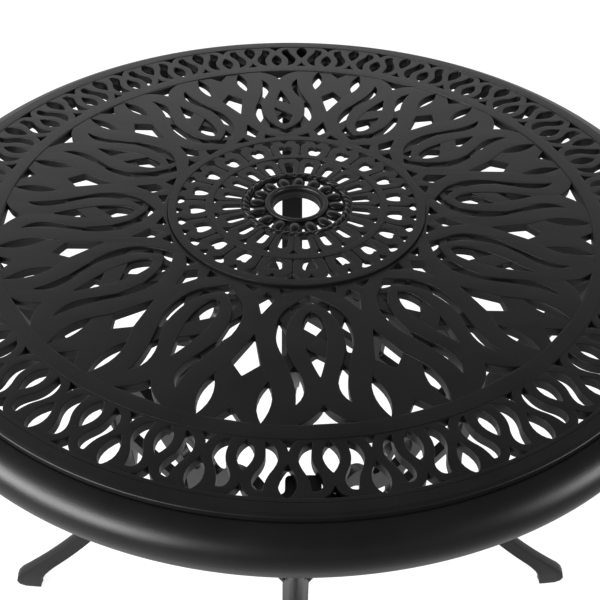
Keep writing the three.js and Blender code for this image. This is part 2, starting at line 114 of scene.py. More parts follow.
# The camera that matches the photograph: places in metres, turns in degrees, lens and sensor in millimetres
CAMERA_LENS = 53.17
CAMERA_DISTANCE = 0.7745
CAMERA_HEIGHT = TOP + 0.5383
CAMERA_AZIMUTH = -91.3
CAMERA_PITCH = 40.975
CAMERA_ROLL = 0.8016
CAMERA_SHIFT = 0.00778
CAMERA_SENSOR = 36
CAMERA_NEAREST = 0.05

# The floor: its tone, how much white it adds for the camera, and how much painted reflection glow it adds
# under the table, seen only in reflections, which fades between two distances from the middle
FLOOR_SIZE = 12
FLOOR_TONE = 0.33
FLOOR_ROUGHNESS = 0.9
FLOOR_SHEEN = 0.1
FLOOR_GLOW = 0.85
FLOOR_PAINTED_REFLECTION = 0.28
UNDER_TABLE = (0.5, 0.85)

# The soft light of the room, and how bright the room is in reflections from its horizon (0) to overhead (1),
# with these two ends first
SOFT_LIGHT = 0.5
CEILING_FADE = [(0.0, 0.75), (1.0, 0.05),
                (0.2, 1.05), (0.42, 1.05), (0.45, 0.68), (0.571, 0.26), (0.76, 0.06)]
# How much sooner that fading comes toward the right
RIGHT_SIDE_DIMMER = 0.16
# How bright the room behind the camera is in reflections, and over which directions it dims
FRONT_ROOM_LIGHT = 0.15
FRONT_ROOM_FADE = (-0.75, 0)

# Lamps, each with its place, size and watts, and the point that all of them face
LAMP_TARGET = (0, 0, 0.7)
LAMPS = [("left_box", (-1.55, -0.98, 1.1), (2.0, 0.75), 48),
         ("right_box", (1.55, -0.66, 1.02), (0.7, 0.55), 9)]


# Small tools
def select_only(*objects):
    bpy.ops.object.select_all(action="DESELECT")
    for item in objects:
        item.select_set(True)
    bpy.context.view_layer.objects.active = objects[0]


def placed(name, data):
    """A new object in the scene, selected alone."""
    item = bpy.data.objects.new(name, data)
    bpy.context.collection.objects.link(item)
    select_only(item)
    return item


def curve_to_mesh(name, curve):
    placed(name, curve)
    bpy.ops.object.convert(target="MESH")
    return bpy.context.view_layer.objects.active


def discard(item):
    select_only(item)
    bpy.ops.object.delete()


def turn_about_middle(item, angles):
    """Turns a piece about the middle of the table's foot and keeps that turn in its points."""
    select_only(item)
    item.rotation_euler = angles
    bpy.ops.object.transform_apply(rotation=True)


def polar(radius, angle, height=0.0):
    return Vector((radius * math.cos(angle), radius * math.sin(angle), height))


def corner(across, along):
    return (across, along, False)


def bend(across, along):
    return (across, along, True)


def mirrored(outline):
    return [(-across, along, is_bend) for across, along, is_bend in outline]


def bent(start, pull, end, share):
    return start * (1 - share) ** 2 + pull * 2 * share * (1 - share) + end * share ** 2


def outline_points(outline, place, steps=BEND_STEPS):
    points = []
    count = len(outline)
    for index, (across, along, is_bend) in enumerate(outline):
        if is_bend:
            continue
        start = place(across, along)
        points.append(start)
        next_across, next_along, next_is_bend = outline[(index + 1) % count]
        if next_is_bend:
            pull = place(next_across, next_along)
            end = place(*outline[(index + 2) % count][:2])
            points += [bent(start, pull, end, step / steps) for step in range(1, steps)]
    return points


def softened(points, radius):
    """Rounds each sharp corner of a closed outline over a short length."""
    rounded = []
    count = len(points)
    for index, point in enumerate(points):
        before = points[index - 1] - point
        after = points[(index + 1) % count] - point
        if before.length < SAME_POINT or after.length < SAME_POINT:
            continue
        if math.pi - before.angle(after) < SHARP_TURN:
            rounded.append(point)
            continue
        start = point + before.normalized() * min(radius, before.length * LONGEST_CUT_SHARE)
        end = point + after.normalized() * min(radius, after.length * LONGEST_CUT_SHARE)
        rounded += [bent(start, point, end, step / CORNER_STEPS) for step in range(CORNER_STEPS + 1)]
    return rounded


def circle_outline(radius, steps=RING_STEPS):
    return [polar(radius, 2 * math.pi * step / steps) for step in range(steps)]


def beside(radius, height, offsets):
    """Points of a profile, each given in millimetres outward and upward from one place."""
    return [(radius + outward * MM, height + upward * MM) for outward, upward in offsets]


def repeated_openings(outlines, repeats, turn, outer, inner, radius=HOLE_SOFTENING):
    half_turn = math.pi / repeats
    width = outer - inner
    openings = []
    for repeat in range(repeats):
        middle = math.radians(turn) + 2 * math.pi * repeat / repeats

        def place(across, along):
            return polar(inner + along * width, middle + across * half_turn)

        for outline in outlines:
            openings.append(softened(outline_points(outline, place), radius))
    return openings


def cast_plate(name, outlines, bottom, top, edge=EDGE_ROUND):
    """A flat plate with openings and rounded edges, from closed outlines."""
    sheet = bpy.data.curves.new(name, "CURVE")
    sheet.dimensions = "2D"
    sheet.fill_mode = "BOTH"
    sheet.extrude = (top - bottom) / 2 - edge
    sheet.bevel_depth = edge
    sheet.bevel_resolution = 1
    sheet.offset = -edge
    for outline in outlines:
        spline = sheet.splines.new("POLY")
        spline.points.add(len(outline) - 1)
        for slot, point in zip(spline.points, outline):
            slot.co = (point.x, point.y, 0, 1)
        spline.use_cyclic_u = True
    plate = curve_to_mesh(name, sheet)
    bpy.ops.object.mode_set(mode="EDIT")
    bpy.ops.mesh.select_all(action="SELECT")
    bpy.ops.mesh.remove_doubles(threshold=SAME_PLATE_POINT)
    bpy.ops.transform.translate(value=(0, 0, (top + bottom) / 2))
    bpy.ops.mesh.normals_make_consistent(inside=False)
    bpy.ops.object.mode_set(mode="OBJECT")
    return plate


def spun_ring(name, profile, steps=RING_STEPS):
    """A ring about the Z axis from a closed profile of radius and height."""
    mesh = bpy.data.meshes.new(name)
    count = len(profile)
    mesh.from_pydata([(radius, 0, height) for radius, height in profile],
                     [(index, (index + 1) % count) for index in range(count)], [])
    ring = placed(name, mesh)
    bpy.ops.object.mode_set(mode="EDIT")
    bpy.ops.mesh.select_all(action="SELECT")
    bpy.ops.mesh.spin(steps=steps, angle=2 * math.pi, center=(0, 0, 0), axis=(0, 0, 1), use_auto_merge=True)
    bpy.ops.mesh.select_all(action="SELECT")
    bpy.ops.mesh.remove_doubles(threshold=SAME_RING_POINT)
    bpy.ops.mesh.normals_make_consistent(inside=False)
    bpy.ops.object.mode_set(mode="OBJECT")
    return ring


def rail_profile(inner, outer, round_inner=False, round_outer=False, top=TOP):
    """The section of a flat ring whose upper edges may be rounded."""
    low = top - STRAND_SINK - LAYER_LAP
    middle_cut = RAIL_ROUND * RAIL_MIDDLE_SHARE
    profile = [(inner, low), (outer, low)]
    if round_outer:
        profile += [(outer, top - RAIL_ROUND), (outer - middle_cut, top - middle_cut),
                    (outer - RAIL_ROUND, top)]
    else:
        profile.append((outer, top))
    if round_inner:
        profile += [(inner + RAIL_ROUND, top), (inner + middle_cut, top - middle_cut),
                    (inner, top - RAIL_ROUND)]
    else:
        profile.append((inner, top))
    return profile


def joined(name, *objects):
    select_only(*objects)
    bpy.ops.object.join()
    whole = bpy.context.view_layer.objects.active
    whole.name = name
    whole.data.name = name
    return whole


def finish_piece(piece, material, nodes, angle=40):
    select_only(piece)
    bpy.ops.object.shade_smooth_by_angle(angle=math.radians(angle))
    weighted = piece.modifiers.new("weighted", "WEIGHTED_NORMAL")
    weighted.keep_sharp = True
    bpy.ops.object.modifier_apply(modifier=weighted.name)
    piece.data.materials.clear()
    piece.data.materials.append(material)
    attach(piece, "root")
    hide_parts(*nodes)


# Finishes: clouded tone and gloss, and a fine orange peel
COAT_SHEEN = 0.5
CLOUD_SCALE = 18
CLOUD_DETAIL = 4
CLOUD_DARK = (0.3, (0.85, 0.86, 0.9))
CLOUD_LIGHT = (0.75, (1.15, 1.16, 1.2))
SMOOTHER = 0.05
ROUGHER = 0.07
PEEL_SCALE = 900
PEEL_DETAIL = 3
PEEL_HEIGHT = 0.25 * MM


def powder_coat(name, tone, roughness, grain):
    material = bpy.data.materials.new(name)
    material.use_nodes = True
    nodes = material.node_tree.nodes
    links = material.node_tree.links
    shader = nodes["Principled BSDF"]
    shader.inputs["Specular IOR Level"].default_value = COAT_SHEEN
    place = nodes.new("ShaderNodeTexCoord")
    cloud = nodes.new("ShaderNodeTexNoise")
    cloud.inputs["Scale"].default_value = CLOUD_SCALE
    cloud.inputs["Detail"].default_value = CLOUD_DETAIL
    links.new(place.outputs["Object"], cloud.inputs["Vector"])
    shade = nodes.new("ShaderNodeValToRGB")
    for stop, (position, tint) in zip(shade.color_ramp.elements, (CLOUD_DARK, CLOUD_LIGHT)):
        stop.position = position
        stop.color = (*(tone * share for share in tint), 1)
    links.new(cloud.outputs["Fac"], shade.inputs["Fac"])
    links.new(shade.outputs["Color"], shader.inputs["Base Color"])
    gloss = nodes.new("ShaderNodeMapRange")
    gloss.inputs["To Min"].default_value = roughness - SMOOTHER
    gloss.inputs["To Max"].default_value = roughness + ROUGHER
    links.new(cloud.outputs["Fac"], gloss.inputs["Value"])
    links.new(gloss.outputs["Result"], shader.inputs["Roughness"])
    peel = nodes.new("ShaderNodeTexNoise")
    peel.inputs["Scale"].default_value = PEEL_SCALE
    peel.inputs["Detail"].default_value = PEEL_DETAIL
    links.new(place.outputs["Object"], peel.inputs["Vector"])
    bump = nodes.new("ShaderNodeBump")
    bump.inputs["Strength"].default_value = grain
    bump.inputs["Distance"].default_value = PEEL_HEIGHT
    links.new(peel.outputs["Fac"], bump.inputs["Height"])
    links.new(bump.outputs["Normal"], shader.inputs["Normal"])
    return material


satin_black = powder_coat("satin_black_coat", tone=0.0072, roughness=0.34, grain=0.5)
black_nylon = powder_coat("black_nylon", tone=0.012, roughness=0.6, grain=0.12)
blackened_steel = powder_coat("blackened_steel", tone=0.02, roughness=0.32, grain=0.1)


# Border band
BORDER_OUTER_EAR = [corner(-0.27, 1.0), bend(-0.08, 0.93), corner(0, 0.795), bend(0.08, 0.93),
                    corner(0.27, 1.0)]
BORDER_INNER_EAR = [corner(0.8, 0.02), bend(0.95, 0.08), corner(1, 0.215), bend(1.05, 0.08),
                    corner(1.2, 0.02)]
BORDER_INNER_LENS = [corner(0, 0.589), bend(0.41, 0.29), corner(0, 0.027), bend(-0.41, 0.29)]
BORDER_OUTER_LENS = [corner(1.04, 0.995), bend(1.38, 0.78), corner(1, 0.43), bend(0.62, 0.78),
                     corner(0.96, 0.995)]
BORDER_SLOT = [corner(0.49, 0.885), bend(0.27, 0.9), corner(0.235, 0.75), bend(0.225, 0.66),
               corner(0.35, 0.53), bend(0.5, 0.38), corner(0.455, 0.2), bend(0.44, 0.1), corner(0.42, 0.05),
               bend(0.74, 0.1), corner(0.765, 0.33), bend(0.765, 0.43), corner(0.63, 0.57), bend(0.51, 0.69)]


def make_border():
    outer = BORDER_SEAM - BORDER_RAIL
    inner = outer - BORDER_OPEN
    openings = repeated_openings(
        [BORDER_OUTER_EAR, BORDER_INNER_EAR, BORDER_INNER_LENS, BORDER_OUTER_LENS, BORDER_SLOT,
         mirrored(BORDER_SLOT)],
        BORDER_REPEATS, FIELD_TURN, outer, inner)
    band = cast_plate("border_band", [circle_outline(BORDER_SEAM), circle_outline(FIELD_SEAM)] + openings,
                      CASTING_UNDERSIDE, TOP - STRAND_SINK)
    rails = [
        spun_ring("outer_rail", rail_profile(outer, BORDER_SEAM, round_inner=True)),
        spun_ring("inner_rail", rail_profile(FIELD_SEAM, inner, round_outer=True)),
    ]
    lattice = joined("border_lattice", band, *rails)
    finish_piece(lattice, satin_black, ["border_openwork"])


# Field of woven onion loops
FIELD_ARCH = [corner(-0.293, 0.995), bend(-0.087, 0.952), corner(0, 0.868), bend(0.087, 0.952),
              corner(0.293, 0.995)]
PAD_NOTCH = [corner(0.86, 0.995), corner(1, 0.914), corner(1.14, 0.995)]
PAD_LENS = [corner(0.67, 0.99), bend(0.5, 0.853), corner(0.653, 0.717), bend(0.833, 0.864)]
PAD_DIAMOND = [corner(1, 0.701), corner(1.207, 0.612), corner(1, 0.395), corner(0.793, 0.612)]
UPPER_SLOT = [corner(0.32, 0.868), bend(0.1, 0.778), corner(0.34, 0.599), corner(0.393, 0.644),
              bend(0.293, 0.776)]
LOWER_SLOT = [corner(0.46, 0.517), corner(0.513, 0.528), bend(0.707, 0.415), corner(0.647, 0.254),
              corner(0.487, 0.336)]
DROP_TOP = [corner(0, 0.687), corner(0.127, 0.546), corner(0, 0.508), corner(-0.127, 0.546)]
DROP_FOOT = [corner(0, 0.388), corner(0.177, 0.32), bend(0.16, 0.24), corner(0, 0.2),
             bend(-0.16, 0.24), corner(-0.177, 0.32)]
LOOP_FOOT = [corner(-0.28, 0.108), bend(0, 0.145), corner(0.28, 0.108), corner(0, 0.063)]
LOOP_SIDE = [corner(0.4, 0.243), corner(0.2, 0.167), corner(0.44, 0.147)]
CROSSING_DIAMOND = [corner(1, 0.24), corner(1.2, 0.115), corner(1, 0.055), corner(0.8, 0.115)]
RING_GAP = [corner(0.66, 0.075), corner(0.75, 0.013), corner(0.33, 0.028)]
PAD_WHOLE = [corner(0.67, 1.0), bend(0.5, 0.853), corner(0.653, 0.717), corner(0.793, 0.612),
             corner(1, 0.395), corner(1.207, 0.612), corner(1.347, 0.717), bend(1.5, 0.853),
             corner(1.33, 1.0)]
PAD_LEAF = [corner(0.66, 1.02), corner(0.66, 0.995), bend(0.833, 0.864), corner(0.64, 0.71),
            corner(0.785, 0.6), corner(0.793, 0.612), corner(1, 0.701), corner(1.207, 0.612),
            corner(1.215, 0.6), corner(1.36, 0.71), bend(1.167, 0.864), corner(1.34, 0.995),
            corner(1.34, 1.02), corner(1.14, 1.02), corner(1.14, 0.995), corner(1, 0.914),
            corner(0.86, 0.995), corner(0.86, 1.02)]
WHOLE_DROP = [corner(0, 0.69), bend(0.15, 0.54), corner(0.205, 0.4), bend(0.24, 0.22), corner(0, 0.198),
              bend(-0.24, 0.22), corner(-0.205, 0.4), bend(-0.15, 0.54)]
CHANNEL_OUTSIDE = [corner(0.315, 0.87), bend(0.29, 0.775), corner(0.396, 0.644), corner(0.515, 0.53),
                   bend(0.7, 0.42), corner(0.665, 0.285), bend(0.62, 0.2), corner(0.41, 0.147),
                   bend(0.2, 0.1)]
CHANNEL_INSIDE = [bend(0.1, 0.14), corner(0.215, 0.17), bend(0.42, 0.22), corner(0.483, 0.34),
                  bend(0.5, 0.42), corner(0.455, 0.5), corner(0.335, 0.6), bend(0.1, 0.778)]
WHOLE_CHANNEL = (CHANNEL_OUTSIDE + [corner(0, 0.065)] + mirrored(CHANNEL_OUTSIDE)[::-1]
                 + mirrored(CHANNEL_INSIDE)[::-1] + [corner(0, 0.128)] + CHANNEL_INSIDE)
OVER_BAR = [corner(-0.24, 0.462), corner(0.124, 0.56), corner(0.24, 0.46), corner(-0.24, 0.318)]


def make_field():
    outer = FIELD_SEAM - MIDDLE_RAIL
    inner = MEDALLION_SEAM + SEAM_GAP
    shared = [FIELD_ARCH, CROSSING_DIAMOND, RING_GAP, mirrored(RING_GAP)]
    barred = shared + [PAD_NOTCH, PAD_LENS, mirrored(PAD_LENS), PAD_DIAMOND, UPPER_SLOT,
                       mirrored(UPPER_SLOT), LOWER_SLOT, mirrored(LOWER_SLOT), DROP_TOP, DROP_FOOT,
                       LOOP_FOOT, LOOP_SIDE, mirrored(LOOP_SIDE)]
    open_wide = shared + [PAD_WHOLE, WHOLE_CHANNEL, WHOLE_DROP]
    rims = [circle_outline(FIELD_SEAM), circle_outline(MEDALLION_SEAM + MEDALLION_GROOVE)]
    low = TOP - UNDER_BAR_SINK - LAYER_LAP
    ledge_inner = MEDALLION_SEAM - LEDGE_WIDTH
    ledge_outer = MEDALLION_SEAM + LEDGE_OUTREACH
    ledge_top = CENTRE_UNDERSIDE - SEAM_GAP
    ledge = [(ledge_inner, CASTING_UNDERSIDE), (ledge_outer, CASTING_UNDERSIDE), (ledge_outer, ledge_top),
             (ledge_inner + LEDGE_CUT, ledge_top), (ledge_inner, ledge_top - LEDGE_CUT)]

    def spread(outlines, repeats=FIELD_REPEATS, turn=FIELD_TURN):
        return repeated_openings(outlines, repeats, turn, outer, inner)

    def alternate(outline, first):
        every_other = [(across / 2, along, is_bend) for across, along, is_bend in outline]
        turn = FIELD_TURN + first * 360 / FIELD_REPEATS
        return spread([every_other], FIELD_REPEATS // 2, turn)

    layers = [
        cast_plate("field_strands", rims + spread(open_wide), low, TOP - STRAND_SINK),
        cast_plate("field_bars", rims + spread(barred), CASTING_UNDERSIDE, TOP - UNDER_BAR_SINK),
        cast_plate("field_pads", spread([PAD_LEAF]), low, TOP - PAD_SINK, PAD_ROUND),
        cast_plate("field_over_bars", alternate(mirrored(OVER_BAR), 0) + alternate(OVER_BAR, 1), low,
                   TOP - OVER_BAR_SINK, PAD_ROUND),
        spun_ring("field_outer_rail", rail_profile(outer, FIELD_SEAM, round_inner=True)),
        spun_ring("medallion_ledge", ledge),
    ]
    finish_piece(joined("field_lattice", *layers), satin_black, ["field_openwork"])


# Medallion of heart cells between two bands
HEART_SIDE = [corner(0, 0.505), bend(0.12, 0.575), corner(0.26, 0.556), bend(0.43, 0.53),
              corner(0.44, 0.38), bend(0.4, 0.1), corner(0.22, 0.03)]
HEART = HEART_SIDE + [bend(0, 0)] + mirrored(HEART_SIDE)[:0:-1]
SPEAR_SIDE = [corner(1, 0.985), bend(0.72, 0.985), corner(0.665, 0.91), bend(0.69, 0.79),
              corner(0.9, 0.725), corner(0.965, 0.6), corner(0.975, 0.11), corner(0.87, 0.035)]
SPEAR = SPEAR_SIDE + [(2 - across, along, is_bend) for across, along, is_bend in SPEAR_SIDE[:0:-1]]
RING_EAR = [corner(-0.25, 0.985), corner(0, 0.75), corner(0.25, 0.985)]
CENTRE_ROUND = 0.45 * MM
CENTRE_SOFTENING = 0.7 * MM


def make_medallion():
    rim = MEDALLION_SEAM - SEAM_GAP
    outer = MEDALLION_SEAM - MEDALLION_RING
    inner = outer - MEDALLION_OPEN
    openings = repeated_openings([HEART, SPEAR, RING_EAR], MEDALLION_REPEATS, MEDALLION_TURN, outer, inner,
                                 CENTRE_SOFTENING)
    layers = [
        cast_plate("medallion_plate", [circle_outline(rim), circle_outline(PETAL_SEAM)] + openings,
                   CENTRE_UNDERSIDE, CENTRE_TOP - STRAND_SINK, CENTRE_ROUND),
        spun_ring("medallion_band", rail_profile(outer, rim, round_inner=True, round_outer=True,
                                                 top=CENTRE_TOP)),
        spun_ring("petal_band", rail_profile(inner - PETAL_BAND, inner, round_inner=True, round_outer=True,
                                             top=CENTRE_TOP)),
    ]
    finish_piece(joined("medallion_lattice", *layers), satin_black, ["medallion_openwork"])


# Slotted petals, whose thin faces are parted by fine lines
PETAL_SLOT = [corner(-0.42, 0), corner(-0.42, 0.5), bend(-0.4, 0.69), corner(0, 0.69), bend(0.4, 0.69),
              corner(0.42, 0.5), corner(0.42, 0)]
PETAL_NOTCH = [corner(0.66, 0.985), corner(1, 0.73), corner(1.34, 0.985)]
PETAL_PARTING = [corner(0.66, 0.985), corner(0.965, 0.74), corner(0.972, 0.03), corner(1.028, 0.03),
                 corner(1.035, 0.74), corner(1.34, 0.985)]
PETAL_FACE = 1.1 * MM
PETAL_LAP = 0.3 * MM
PETAL_ROUND = 0.35 * MM
ROPE_CLEARANCE = 0.1 * MM


def make_petals():
    outer = PETAL_SEAM - PETAL_TIP
    inner = outer - PETAL_OPEN
    rims = [circle_outline(PETAL_SEAM - SEAM_GAP), circle_outline(ROPE_OUTER + ROPE_CLEARANCE)]
    face = CENTRE_TOP - STRAND_SINK

    def spread(outlines):
        return repeated_openings(outlines, MEDALLION_REPEATS, MEDALLION_TURN, outer, inner,
                                 CENTRE_SOFTENING)

    layers = [
        cast_plate("petal_faces", rims + spread([PETAL_SLOT, PETAL_PARTING]), face - PETAL_FACE - PETAL_LAP,
                   face, PETAL_ROUND),
        cast_plate("petal_bodies", rims + spread([PETAL_SLOT, PETAL_NOTCH]), CENTRE_UNDERSIDE,
                   face - PETAL_FACE, CENTRE_ROUND),
    ]
    finish_piece(joined("petal_lattice", *layers), satin_black, ["petal_ring"])


# Rope, collar and leaves
ROPE_TURNS = 22
ROPE_STRANDS = 2
ROPE_STRAND = 2.2 * MM
ROPE_FLATNESS = 0.62
ROPE_STEPS = 24 * ROPE_TURNS
ROPE_SEAT = CENTRE_TOP - 1.1 * MM
ROPE_INNER = ROPE_OUTER - ROPE_WIDTH
COLLAR_OUTER = 33.5 * MM
COLLAR_LAP = 1 * MM
SKIRT_FOOT = COLLAR_FOOT + 5 * MM
HOLE_RADIUS = 25 * MM
STEP_RADIUS = HOLE_RADIUS + 3 * MM
STEP_FLOOR = COLLAR_CROWN - 4 * MM
# Edges in millimetres outward and upward: of the collar, of its step, and of the hole below the step
COLLAR_EDGE = [(0, -1.3), (-0.3, -0.5), (-0.9, -0.1), (-1.5, 0)]
STEP_EDGE = [(1.7, 0), (1, -0.15), (0.4, -0.7), (0, -1.8)]
STEP_CORNER = [(0, 0.4), (-0.4, 0)]
HOLE_EDGE = [(0.6, 0), (0, -0.6)]
LEAF_MIDDLE = 41.8 * MM
LEAF_CENTRE = CENTRE_TOP - 2.3 * MM
LEAF_SIZE = (8.6 * MM, 5.9 * MM, 3.1 * MM)
LEAF_PLATE_TOP = CENTRE_TOP - 2.6 * MM
LEAF_GAP = [corner(-0.46, 1), bend(-0.2, 0.8), corner(-0.2, 0.45), corner(-0.24, 0), corner(0.24, 0),
            corner(0.2, 0.45), bend(0.2, 0.8), corner(0.46, 1)]


def ring_path_tube(name, point_at, steps, thickness):
    line = bpy.data.curves.new(name, "CURVE")
    line.dimensions = "3D"
    line.bevel_depth = thickness
    line.bevel_resolution = 2
    spline = line.splines.new("POLY")
    spline.points.add(steps - 1)
    for step in range(steps):
        spline.points[step].co = (*point_at(step / steps), 1)
    spline.use_cyclic_u = True
    return curve_to_mesh(name, line)


def make_rope():
    middle = (ROPE_INNER + ROPE_OUTER) / 2
    swing = ROPE_WIDTH / 2 - ROPE_STRAND
    height = ROPE_CROWN - ROPE_STRAND - swing
    strands = []
    for strand in range(ROPE_STRANDS):
        def point_at(share, strand=strand):
            around = 2 * math.pi * share
            twist = around * ROPE_TURNS + 2 * math.pi * strand / ROPE_STRANDS
            return polar(middle + swing * math.cos(twist), around, height + swing * math.sin(twist))

        tube = ring_path_tube("rope_strand", point_at, ROPE_STEPS, ROPE_STRAND)
        tube.scale.z = ROPE_FLATNESS
        tube.location.z = ROPE_CROWN * (1 - ROPE_FLATNESS)
        bpy.ops.object.transform_apply(location=True, scale=True)
        strands.append(tube)
    base = spun_ring("rope_base", [(ROPE_INNER, CENTRE_UNDERSIDE), (ROPE_OUTER, CENTRE_UNDERSIDE),
                                   (ROPE_OUTER, ROPE_SEAT), (ROPE_INNER, ROPE_SEAT)])
    finish_piece(joined("rope_moulding", base, *strands), satin_black, ["rope_ring"])


def make_collar():
    ring = spun_ring("collar_ring", [(HOLE_RADIUS, SKIRT_FOOT), (COLLAR_OUTER, SKIRT_FOOT)]
                     + beside(COLLAR_OUTER, COLLAR_CROWN, COLLAR_EDGE)
                     + beside(STEP_RADIUS, COLLAR_CROWN, STEP_EDGE)
                     + beside(STEP_RADIUS, STEP_FLOOR, STEP_CORNER)
                     + beside(HOLE_RADIUS, STEP_FLOOR, HOLE_EDGE))
    outer = ROPE_INNER - LEAF_RAIL
    rims = [circle_outline(ROPE_INNER - ROPE_CLEARANCE), circle_outline(COLLAR_OUTER - COLLAR_LAP)]
    gaps = repeated_openings([LEAF_GAP], LEAF_REPEATS, LEAF_TURN, outer, outer - LEAF_OPEN,
                             CENTRE_SOFTENING)
    plate = cast_plate("leaf_plate", rims + gaps, CENTRE_UNDERSIDE, LEAF_PLATE_TOP, CENTRE_ROUND)
    leaves = []
    for repeat in range(LEAF_REPEATS):
        angle = math.radians(LEAF_TURN) + 2 * math.pi * (repeat + 0.5) / LEAF_REPEATS
        bpy.ops.mesh.primitive_uv_sphere_add(segments=24, ring_count=14, radius=1,
                                             location=polar(LEAF_MIDDLE, angle, LEAF_CENTRE),
                                             rotation=(0, 0, angle), scale=LEAF_SIZE)
        bpy.ops.object.transform_apply(location=True, rotation=True, scale=True)
        leaves.append(bpy.context.active_object)
    finish_piece(joined("umbrella_collar_casting", ring, plate, *leaves), satin_black, ["umbrella_collar"])


# Rim: flat beside the border, a bevel and a groove, then a rolled edge with a hollow apron
RIM_CROWN_WIDTH = 25 * MM
RIM_CROWN_DROP = 4.8 * MM
RIM_WIDEST_DROP = 28 * MM
RIM_WALL = 6 * MM
RIM_LIP = 4 * MM
GROOVE_HALF = 1.3 * MM
RIM_STEPS = 384
APRON_STEPS = 8
ROLL_STEPS = 24
LOWER_ROLL_SHARES = (0.2, 0.45, 0.7, 0.85)
# The lip and the groove, in millimetres outward and upward from the edges that they round
LIP_INSIDE = [(0, 0.8), (0.8, 0)]
LIP_OUTSIDE = [(-1.5, 0), (-0.2, 1.2)]
GROOVE_OUTSIDE = [(-0.35, -0.1), (-0.6, -0.35), (-0.75, -0.8)]
GROOVE_FLOOR = [(0.3, -1.3), (-0.4, -1.3)]
GROOVE_INSIDE = [(0.35, -4.2), (0.2, -1.9), (0.1, -1.5), (-0.1, -1.2), (-0.4, -1), (-2.6, -0.1), (-3.2, 0)]


def make_rim():
    groove = TABLE_RADIUS - RIM_CROWN_WIDTH
    crown = groove + GROOVE_HALF
    crown_height = TOP - RIM_CROWN_DROP
    widest = TOP - RIM_WIDEST_DROP
    lip = TABLE_RADIUS - RIM_LIP
    profile = [(BORDER_SEAM + SEAM_GAP, CASTING_UNDERSIDE)]
    for step in range(APRON_STEPS + 1):
        turn = math.pi / 2 * step / APRON_STEPS
        profile.append((crown + (TABLE_RADIUS - crown - RIM_WALL) * math.sin(turn),
                        widest + (CASTING_UNDERSIDE - widest) * math.cos(turn)))
    profile += beside(lip - RIM_WALL, RIM_FOOT, LIP_INSIDE) + beside(lip, RIM_FOOT, LIP_OUTSIDE)
    for share in LOWER_ROLL_SHARES:
        profile.append((lip + (TABLE_RADIUS - lip) * math.sin(share * math.pi / 2),
                        RIM_FOOT + (widest - RIM_FOOT) * share))
    for step in range(ROLL_STEPS + 1):
        turn = math.pi / 2 * (1 - step / ROLL_STEPS)
        profile.append((crown + (TABLE_RADIUS - crown) * math.sin(turn),
                        widest + (crown_height - widest) * math.cos(turn)))
    profile += beside(crown, crown_height, GROOVE_OUTSIDE) + beside(groove, crown_height, GROOVE_FLOOR)
    profile += beside(groove - GROOVE_HALF, TOP, GROOVE_INSIDE) + [(BORDER_SEAM + SEAM_GAP, TOP)]
    finish_piece(spun_ring("rolled_rim", profile, RIM_STEPS), satin_black, ["rim_casting"], angle=30)


# Legs
LEG_NAMES = ["right", "back", "left", "front"]
LEG_WIDTH = 28 * MM
LEG_WIDTH_BELOW = 30.6 * MM
LEG_DEPTH = 18 * MM
LEG_TOP = TABLE_RADIUS - 63 * MM
LEG_TOP_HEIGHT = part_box("leg_right")[1][2]
LEG_WAIST = 222 * MM
LEG_WAIST_HEIGHT = 317 * MM
LEG_ANKLE_HEIGHT = 66.5 * MM
FOOT_TOE = TABLE_RADIUS + 8 * MM
FOOT_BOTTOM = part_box("leg_right")[0][2]
LEG_ANKLE = FOOT_TOE - 57.8 * MM
LEG_STEPS = 26
TOP_PULL_SHARE = 0.3
WAIST_PULL_SHARE = 0.35
ANKLE_PULL = Vector((-76, 71, 0)) * MM
LEG_WELD = 1.9 * MM
LEG_WELD_INSET = 3 * MM


def bezier_point(a, b, c, d, share):
    rest = 1 - share
    return a * rest ** 3 + b * 3 * rest ** 2 * share + c * 3 * rest * share ** 2 + d * share ** 3


def bezier_line(a, b, c, d, share):
    rest = 1 - share
    return ((b - a) * 3 * rest ** 2 + (c - b) * 6 * rest * share + (d - c) * 3 * share ** 2).normalized()


def leg_stations():
    """Points down the middle line of a leg, each with its direction to the outside."""
    drop = LEG_TOP_HEIGHT - LEG_WAIST_HEIGHT
    fall = LEG_WAIST_HEIGHT - LEG_ANKLE_HEIGHT
    head = Vector((LEG_TOP, LEG_TOP_HEIGHT, 0))
    waist = Vector((LEG_WAIST, LEG_WAIST_HEIGHT, 0))
    ankle = Vector((LEG_ANKLE, LEG_ANKLE_HEIGHT, 0))
    upper = (head, head - Vector((0, drop * TOP_PULL_SHARE, 0)),
             waist + Vector((0, drop * WAIST_PULL_SHARE, 0)), waist)
    lower = (waist, waist - Vector((0, fall * WAIST_PULL_SHARE, 0)), ankle + ANKLE_PULL, ankle)
    stations = []
    for curve in (upper, lower):
        first = 1 if stations else 0
        for step in range(first, LEG_STEPS + 1):
            along = bezier_line(*curve, step / LEG_STEPS)
            stations.append((bezier_point(*curve, step / LEG_STEPS), Vector((-along.y, along.x, 0))))
    return stations


# Half of a leg's section from its inner face (-1) to its rounded crown (1), in shares of its half width
LEG_SECTION = [(-1, 0), (-1, 0.5), (-1, 0.93), (-0.9, 1), (0.42, 0.62), (0.5, 0.585), (0.7, 0.53),
               (0.86, 0.42), (0.96, 0.23), (1, 0)]
# Places down the foot, in millimetres: its inner and its outer side, each outward from the toe and up from
# the floor, then half its width, and how square its section is
FOOT_PLACES = [((-56, 51), (-38, 61), 15.2, 0), ((-48, 41), (-19.5, 44.5), 15, 0.1),
               ((-42.5, 31), (-6.5, 33.5), 14.4, 0.25), ((-38.5, 20), (0.5, 24), 13.6, 0.4),
               ((-36, 10), (3, 14), 13, 0.55), ((-34.8, 5.5), (0.5, 7), 12.6, 0.6),
               ((-34.2, 2.8), (-7, 2.8), 12.3, 0.65)]


